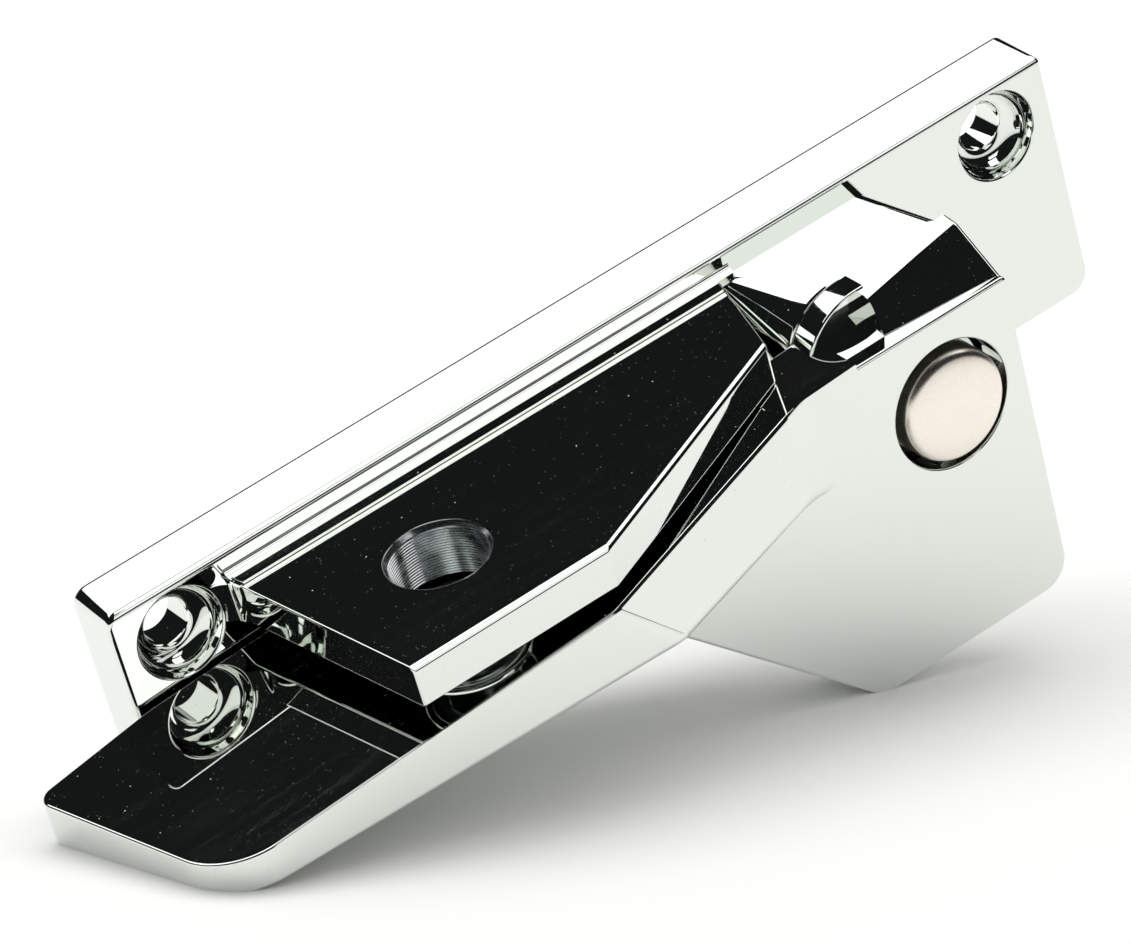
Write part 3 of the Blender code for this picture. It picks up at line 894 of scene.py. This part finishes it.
def chrome_material():
    """Polished chrome plate with dust specks, faint polishing marks and a slight waviness."""
    material, shader = new_material("chrome_plate", CHROME_COLOUR, 0.03)
    links = material.node_tree.links
    even = scaled_coordinates(material, (1.0, 1.0, 1.0))
    coarse = specks(material, even, cells=700.0, radius=0.07, rarity=0.7)
    fine_specks = specks(material, even, cells=2300.0, radius=0.15, rarity=0.72)
    fine = mapped(material, fine_specks, 0.0, 1.0, 0.0, FINE_DUST_STRENGTH)
    either = add_node(material, "ShaderNodeMath", operation="MAXIMUM")
    links.new(coarse, either.inputs[0])
    links.new(fine, either.inputs[1])
    dust = either.outputs["Value"]
    streaks = noise(material, scaled_coordinates(material, POLISHING_SCALE), scale=1.0, detail=4.0)
    rough = mapped(material, streaks, 0.35, 0.75, *CHROME_ROUGHNESS_RANGE)
    roughness = add_node(material, "ShaderNodeMath", operation="ADD")
    links.new(rough, roughness.inputs[0])
    dusty = mapped(material, dust, 0.0, 1.0, 0.0, DUST_ROUGHNESS)
    links.new(dusty, roughness.inputs[1])
    links.new(roughness.outputs["Value"], shader.inputs["Roughness"])
    links.new(mapped(material, dust, 0.0, 1.0, 1.0, 0.0), shader.inputs["Metallic"])
    colour = mixed_colour(material, dust, CHROME_COLOUR, DUST_COLOUR)
    links.new(colour, shader.inputs["Base Color"])
    waves = noise(material, even, scale=90.0, detail=1.0)
    bump(material, shader, waves, strength=0.12, distance=0.00004)
    return material


def nickel_material():
    """Satin nickel with a fine grain."""
    material, shader = new_material("satin_nickel_plate", (0.93, 0.87, 0.78), 0.3)
    even = scaled_coordinates(material, (1.0, 1.0, 1.0))
    grain = noise(material, even, scale=9000.0, detail=2.0)
    links = material.node_tree.links
    roughness = mapped(material, grain, 0.3, 0.7, *NICKEL_ROUGHNESS_RANGE)
    links.new(roughness, shader.inputs["Roughness"])
    cloud = noise(material, even, scale=250.0, detail=3.0)
    colour = mixed_colour(material, cloud, NICKEL_LIGHT, NICKEL_DARK)
    links.new(colour, shader.inputs["Base Color"])
    bump(material, shader, grain, strength=0.25, distance=0.00003)
    return material


def turned_metal(name, colour, roughness):
    """Turned metal, with fine marks of uneven depth."""
    material, shader = new_material(name, colour, roughness)
    marks = noise(material, scaled_coordinates(material, TURNING_SCALE), scale=1.0, detail=3.0)
    links = material.node_tree.links
    uneven = mapped(material, marks, 0.3, 0.7, roughness * 0.7, roughness * 1.4)
    links.new(uneven, shader.inputs["Roughness"])
    light = tuple(min(1.0, value * 1.08) for value in colour)
    dark = tuple(value * 0.88 for value in colour)
    links.new(mixed_colour(material, marks, dark, light), shader.inputs["Base Color"])
    bump(material, shader, marks, strength=0.3, distance=0.00004)
    return material


def paint_node(node_name, material):
    """Gives a CAD node that stays in view its material."""
    node = frame["nodes"][node_name]
    node.data.materials.clear()
    node.data.materials.append(material)


# Surroundings


# The latch lies tilted on the board, so the board's upward direction isn't the frame's.
UP = Vector((0.337, 0.164, 0.927)).normalized()
CAMERA_PLACE = Vector((-0.300501, -0.594363, 0.440041))
CAMERA_BACK = Vector((-0.370696, -0.743210, 0.556977)).normalized()
CAMERA_UP = Vector((0.486510, 0.355452, 0.798099))
LENS = 210.06
SENSOR_WIDTH = 36.0
CLIP_RANGE = (0.01, 20.0)


def levelled(direction):
    """The direction along the floor nearest to this one."""
    return (direction - UP * direction.dot(UP)).normalized()


AWAY = levelled(-CAMERA_BACK)
ACROSS = AWAY.cross(UP)
OBJECT_MIDDLE = point(70.0, 15.0, 25.0)

# A point of the floor, just below the nose's lower left corner
FLOOR_POINT = point(84.5, 16.0, 55.45)
FLOOR_RADIUS = 2.5
FLOOR_STEPS = 64

# Lamps: places as (across, away, height) in metres, sizes as (side, up) in metres
OVERHEAD_EDGE = (-0.275, 0.625, 1.0)
OVERHEAD_SIZE = (2.2, 0.8)
OVERHEAD_TURN = 16.0
OVERHEAD_RADIANCE = 1.65
BACK_WALL_SIZE = (3.6, 0.7)
BACK_WALL_RADIANCE = 0.45
FILL_SIZE = (1.2, 1.2)
FRONT_FILL = ((-0.5, -0.9, 1.0), 0.45)
BACK_FILL = ((0.6, 1.2, 0.9), 0.35)

# Cards: bearings and elevations in degrees, then radiance
CARD_DISTANCE = 1.5
MIDDLE_CARD = ((-56.0, -36.0), (25.5, 30.3), 1.6)
LOW_CARD = ((-56.0, -34.0), (14.0, 25.5), 1.15)
LEFT_CARD = ((-60.0, -50.5), (16.0, 30.6), 1.5)
HIGH_CARD = ((-62.0, -24.0), (36.0, 78.0), 1.6)


def over_floor(across, away, height):
    """A place by its distances across and away from the object's middle, and above the floor."""
    base = OBJECT_MIDDLE - UP * (OBJECT_MIDDLE - FLOOR_POINT).dot(UP)
    return base + ACROSS * across + AWAY * away + UP * height


def floor_material():
    """Pale board, seen from above only, with a faint mottle."""
    material, shader = new_material("pale_board", (0.93, 0.93, 0.93), 0.9, 0.0)
    shader.inputs["Specular IOR Level"].default_value = 0.1
    even = scaled_coordinates(material, (1.0, 1.0, 1.0))
    mottle = noise(material, even, scale=14.0, detail=4.0)
    colour = mixed_colour(material, mottle, (0.945, 0.94, 0.93), (0.925, 0.925, 0.92))
    links = material.node_tree.links
    links.new(colour, shader.inputs["Base Color"])
    clear = add_node(material, "ShaderNodeBsdfTransparent")
    geometry = add_node(material, "ShaderNodeNewGeometry")
    mix = add_node(material, "ShaderNodeMixShader")
    output = material.node_tree.nodes["Material Output"]
    links.new(geometry.outputs["Backfacing"], mix.inputs["Fac"])
    links.new(shader.outputs["BSDF"], mix.inputs[1])
    links.new(clear.outputs["BSDF"], mix.inputs[2])
    links.new(mix.outputs["Shader"], output.inputs["Surface"])
    return material


def build_floor():
    """A round board under the latch."""
    loop = []
    for step in range(FLOOR_STEPS):
        angle = 2 * math.pi * step / FLOOR_STEPS
        across = FLOOR_RADIUS * math.cos(angle)
        away = FLOOR_RADIUS * math.sin(angle)
        loop.append(over_floor(across, away, 0.0))
    mesh = bmesh.new()
    face = mesh.faces.new([mesh.verts.new(corner) for corner in loop])
    face.normal_update()
    if face.normal.dot(UP) < 0:
        face.normal_flip()
    data = bpy.data.meshes.new("floor")
    mesh.to_mesh(data)
    mesh.free()
    floor = bpy.data.objects.new("floor", data)
    bpy.context.scene.collection.objects.link(floor)
    data.materials.append(floor_material())


def softbox(name, place, target, size, radiance, turn=0.0, in_reflections=True):
    """A rectangular lamp that faces the target, turned by degrees about its own axis."""
    light = bpy.data.lights.new(name, "AREA")
    light.shape = "RECTANGLE"
    light.size, light.size_y = size
    light.energy = radiance * math.pi * size[0] * size[1]
    lamp = bpy.data.objects.new(name, light)
    back = (place - target).normalized()
    level_side = UP.cross(back)
    side = level_side.normalized() if level_side.length > 0.01 else ACROSS
    side = Matrix.Rotation(math.radians(turn), 3, back) @ side
    upward = back.cross(side)
    lamp.matrix_world = Matrix((side, upward, back)).transposed().to_4x4()
    lamp.location = place
    lamp.visible_camera = False
    lamp.visible_glossy = in_reflections
    bpy.context.scene.collection.objects.link(lamp)
    return lamp


def build_world():
    """A world that is dark in reflections, and pale to the camera and in diffuse light."""
    world = bpy.data.worlds.new("studio")
    bpy.context.scene.world = world
    world.use_nodes = True
    nodes = world.node_tree.nodes
    links = world.node_tree.links
    dark = nodes["Background"]
    dark.inputs["Color"].default_value = (0.9, 0.95, 1.0, 1.0)
    dark.inputs["Strength"].default_value = 0.01
    path = nodes.new("ShaderNodeLightPath")
    shader = dark.outputs["Background"]
    for ray, strength in (("Is Diffuse Ray", 0.6), ("Is Camera Ray", 1.0)):
        pale = nodes.new("ShaderNodeBackground")
        pale.inputs["Color"].default_value = (0.97, 0.97, 0.96, 1.0)
        pale.inputs["Strength"].default_value = strength
        mix = nodes.new("ShaderNodeMixShader")
        links.new(path.outputs[ray], mix.inputs["Fac"])
        links.new(shader, mix.inputs[1])
        links.new(pale.outputs["Background"], mix.inputs[2])
        shader = mix.outputs["Shader"]
    links.new(shader, nodes["World Output"].inputs["Surface"])


def aimed(bearing, elevation, distance):
    """A place in the direction given by degrees round from ACROSS towards AWAY, and up from the floor."""
    reach = distance * math.cos(math.radians(elevation))
    rise = distance * math.sin(math.radians(elevation))
    angle = math.radians(bearing)
    return over_floor(reach * math.cos(angle), reach * math.sin(angle), 0.05 + rise)


def panel(name, bearings, elevations, radiance, receivers):
    """A card that lights only the given pieces, over this range of bearings and elevations."""
    bearing = sum(bearings) / 2
    elevation = sum(elevations) / 2
    arc = math.radians(bearings[1] - bearings[0])
    width = CARD_DISTANCE * arc * math.cos(math.radians(elevation))
    height = CARD_DISTANCE * math.radians(elevations[1] - elevations[0])
    place = aimed(bearing, elevation, CARD_DISTANCE)
    lamp = softbox(name, place, over_floor(0.0, 0.0, 0.05), (width, height), radiance)
    group = bpy.data.collections.new(name + "_receivers")
    for piece in receivers:
        group.objects.link(piece)
    lamp.light_linking.receiver_collection = group


def build_lights(body, lever, bores):
    """One large soft lamp overhead, a wall behind, two fills, and cards for single pieces."""
    target = over_floor(0.0, 0.0, 0.03)
    edge = over_floor(*OVERHEAD_EDGE)
    turn = math.radians(OVERHEAD_TURN)
    inward = ACROSS * math.sin(turn) - AWAY * math.cos(turn)
    middle = edge + inward * OVERHEAD_SIZE[1] / 2
    softbox("overhead", middle, middle - UP, OVERHEAD_SIZE, OVERHEAD_RADIANCE, turn=OVERHEAD_TURN)
    panel("middle_card", *MIDDLE_CARD, [body, lever, *bores])
    panel("low_card", *LOW_CARD, [body, lever, *bores])
    panel("left_card", *LEFT_CARD, [lever])
    panel("high_card", *HIGH_CARD, [body, *bores])
    wall = aimed(110.0, 9.0, 2.4)
    softbox("back_wall", wall, over_floor(0.0, 0.0, 0.4), BACK_WALL_SIZE, BACK_WALL_RADIANCE)
    for name, (place, radiance) in (("fill_front", FRONT_FILL), ("fill_back", BACK_FILL)):
        softbox(name, over_floor(*place), target, FILL_SIZE, radiance, in_reflections=False)


def build_camera():
    """The camera at the photograph's place, with its lens."""
    camera = bpy.data.objects.new("camera", bpy.data.cameras.new("camera"))
    right = CAMERA_UP.cross(CAMERA_BACK).normalized()
    upward = CAMERA_BACK.cross(right)
    camera.matrix_world = Matrix((right, upward, CAMERA_BACK)).transposed().to_4x4()
    camera.location = CAMERA_PLACE
    camera.data.lens = LENS
    camera.data.sensor_width = SENSOR_WIDTH
    camera.data.clip_start, camera.data.clip_end = CLIP_RANGE
    bpy.context.scene.collection.objects.link(camera)
    bpy.context.scene.camera = camera


def build():
    """The latch, its floor, its lights and its camera."""
    chrome = chrome_material()
    nickel = nickel_material()
    steel = turned_metal("turned_steel", (0.74, 0.77, 0.78), 0.17)
    bronze = turned_metal("bearing_bronze", (0.62, 0.42, 0.22), 0.35)
    spring = turned_metal("spring_steel", (0.42, 0.42, 0.44), 0.3)
    zinc = turned_metal("zinc_plate", (0.70, 0.72, 0.74), 0.32)
    body = build_body(chrome)
    bushing = build_bushing(steel)
    lever = build_lever(chrome)
    sleeve = build_sleeve(steel)
    build_pin(nickel)
    for node_name, material in (
        ("pivot_bush", bronze),
        ("thrust_washer", bronze),
        ("wave_washer", spring),
        ("back_washer", zinc),
        ("lock_nut", zinc),
        ("stop_pin", steel),
    ):
        paint_node(node_name, material)
    build_floor()
    build_world()
    build_lights(body, lever, [bushing, sleeve])
    build_camera()
    bpy.context.scene.view_settings.view_transform = "Standard"


build()
